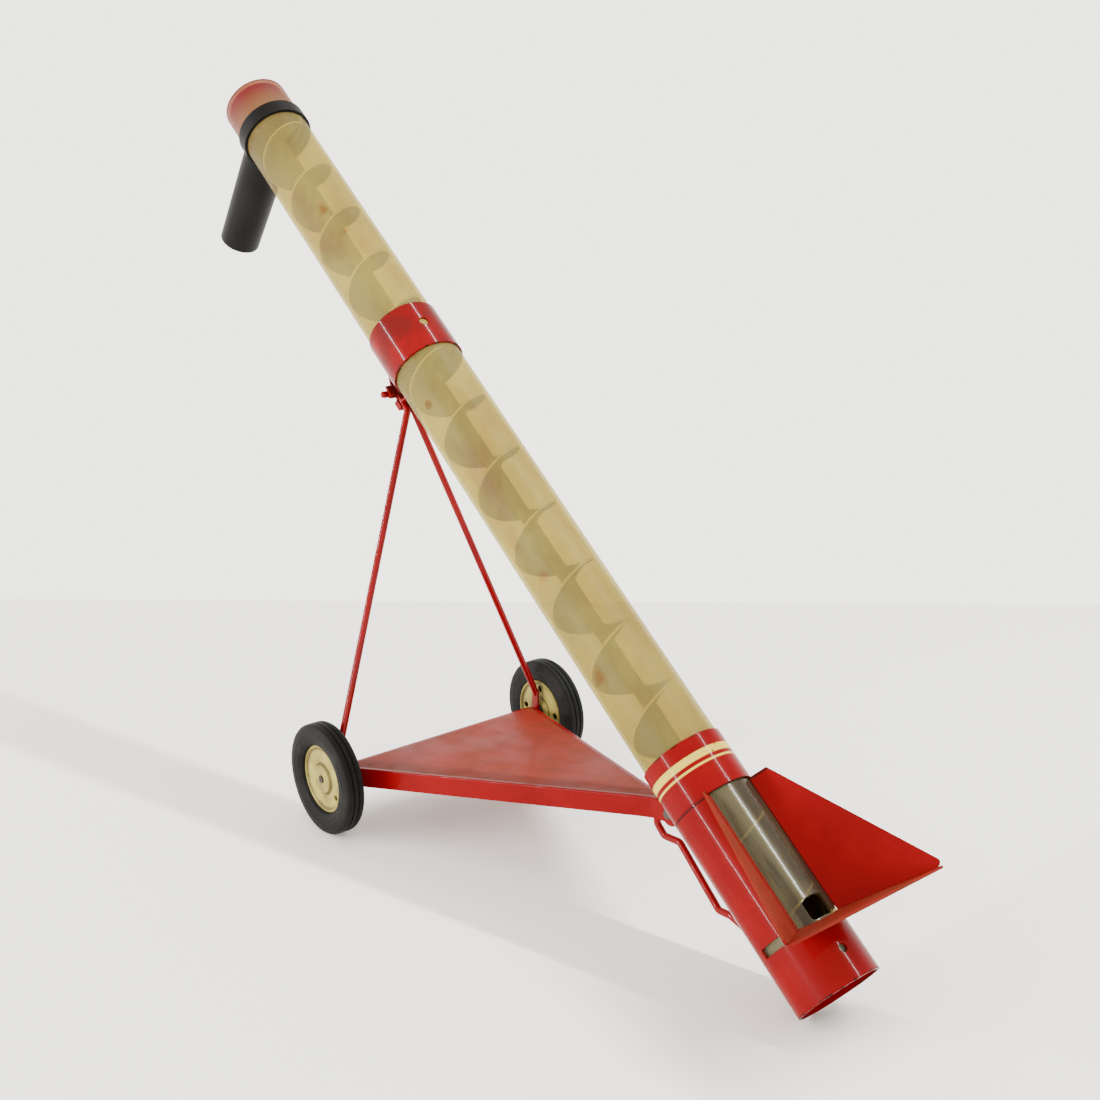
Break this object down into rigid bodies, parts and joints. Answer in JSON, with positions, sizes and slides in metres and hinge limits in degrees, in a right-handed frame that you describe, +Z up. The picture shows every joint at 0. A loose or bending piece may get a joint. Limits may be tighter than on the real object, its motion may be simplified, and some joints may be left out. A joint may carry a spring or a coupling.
{
  "type": "toy grain auger",
  "caption": "Toy portable grain auger: a clear inclined tube with a screw inside, a flared intake hopper, a discharge spout, a wheeled platform and a folding wire strut.",
  "frame": {"origin": "on the ground, midway along and midway across the whole machine", "axes": "+X towards the intake hopper, +Y across to the far wheel, +Z up"},
  "size_m": [0.5238, 0.1634, 0.3926],
  "materials": {
    "red_paint": "glossy red enamel, dusty and chipped",
    "hub_paint": "satin cream enamel",
    "bare_steel": "dull, lightly rusted",
    "flight_steel": "dull",
    "clear_tube": "yellowed clear plastic",
    "red_plastic": "satin",
    "bearing_plastic": "matt",
    "grey_plastic": "satin dark grey",
    "tyre": "matt black rubber"
  },
  "bodies": {
    "chassis": {"platform_pan": "red_paint", "axle": "bare_steel", "pivot_rivet": "bare_steel", "axle_washers": "bare_steel"},
    "boom": {"auger_tube": "clear_tube", "end_plug": "red_plastic", "lower_bearing": "bearing_plastic", "mid_collar": "red_paint", "strut_saddle": "red_paint", "lower_collar": "red_paint", "hinge_lugs": "red_paint", "hopper_shell": "red_paint", "hopper_front": "red_paint", "end_ring": "red_paint", "tow_loop": "red_paint"},
    "strut": {"strut_leg_near": "red_paint", "strut_leg_far": "red_paint", "strut_clip": "red_paint"},
    "auger": {"auger_shaft": "bare_steel", "auger_flight": "flight_steel"},
    "spout": {"discharge_spout": "grey_plastic"},
    "wheel_near": {"tyre_near": "tyre", "outer_hub_near": "hub_paint", "inner_hub_near": "hub_paint", "bush_near": "bare_steel"},
    "wheel_far": {"tyre_far": "tyre", "outer_hub_far": "hub_paint", "inner_hub_far": "hub_paint", "bush_far": "bare_steel"}
  },
  "joints": [
    {"name": "boom_pivot", "type": "hinge", "parent": "chassis", "child": "boom", "pos_m": [0.14805, 0, 0.06046], "axis": [0, -1, 0], "range_deg": [0, 30]},
    {"name": "strut_fold", "type": "hinge", "parent": "chassis", "child": "strut", "pos_m": [-0.03944, 0, 0.03036], "axis": [0, -1, 0], "range_deg": [0, 66]},
    {"name": "auger_spin", "type": "hinge", "parent": "boom", "child": "auger", "pos_m": [-0.03944, 0, 0.23747], "axis": [0.7934, 0, -0.6088], "continuous": true},
    {"name": "spout_swivel", "type": "hinge", "parent": "boom", "child": "spout", "pos_m": [-0.20247, 0, 0.36257], "axis": [0.7934, 0, -0.6088], "range_deg": [-60, 60]},
    {"name": "wheel_spin_near", "type": "hinge", "parent": "chassis", "child": "wheel_near", "pos_m": [-0.03944, -0.0757, 0.03036], "axis": [0, 1, 0], "continuous": true},
    {"name": "wheel_spin_far", "type": "hinge", "parent": "chassis", "child": "wheel_far", "pos_m": [-0.03944, 0.0757, 0.03036], "axis": [0, 1, 0], "continuous": true}
  ],
  "couplings": [
    {"joint": "strut_fold", "follows": "boom_pivot", "ratio": 2.2}
  ]
}
